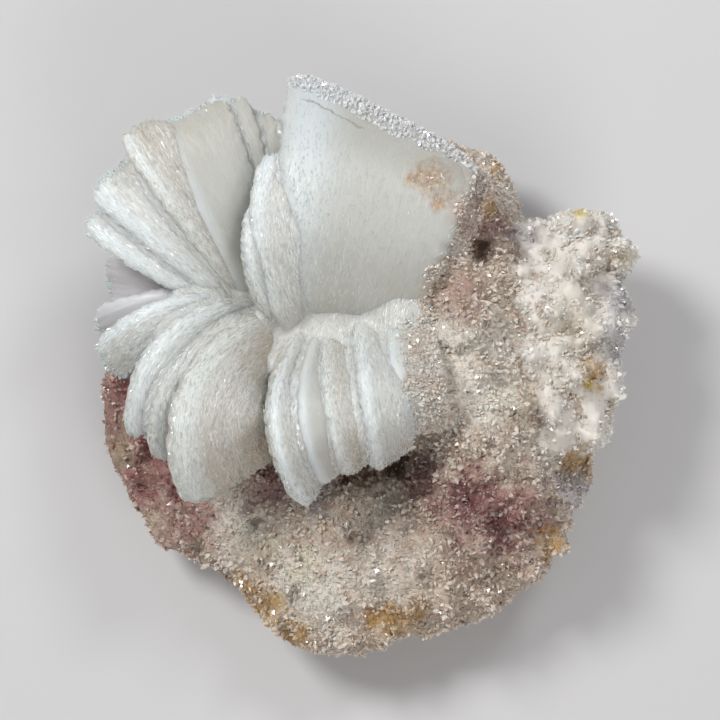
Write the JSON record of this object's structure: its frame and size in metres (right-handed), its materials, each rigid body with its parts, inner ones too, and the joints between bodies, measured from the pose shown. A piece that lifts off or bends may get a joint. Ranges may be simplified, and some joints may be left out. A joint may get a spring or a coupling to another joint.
{
  "type": "gypsum flower specimen",
  "caption": "Mineral specimen: fans of curved satin gypsum blades spread from one heart on a crystal-crusted rock with a flat back, with a pale growth of crystals along one side.",
  "frame": {"origin": "middle of the specimen's footprint on the surface that its flat back rests on", "axes": "+Z out of the flat back through the flower, +Y towards the tips of the broad upper blades, +X towards the pale side crystals"},
  "size_m": [0.1091, 0.1173, 0.0595],
  "materials": {
    "satin_gypsum": "milky translucent white gypsum with silky lengthwise fibres, satin to glassy",
    "cloudy_gypsum": "cloudy white to grey crystal coating, glittering",
    "crusted_rock": "rock crusted with small glassy crystals, pinkish brown with dark red, grey and ochre patches; rough, not metallic"
  },
  "bodies": {
    "root": {"flower": "satin_gypsum", "side_crystals": "cloudy_gypsum", "matrix": "crusted_rock"}
  },
  "joints": []
}
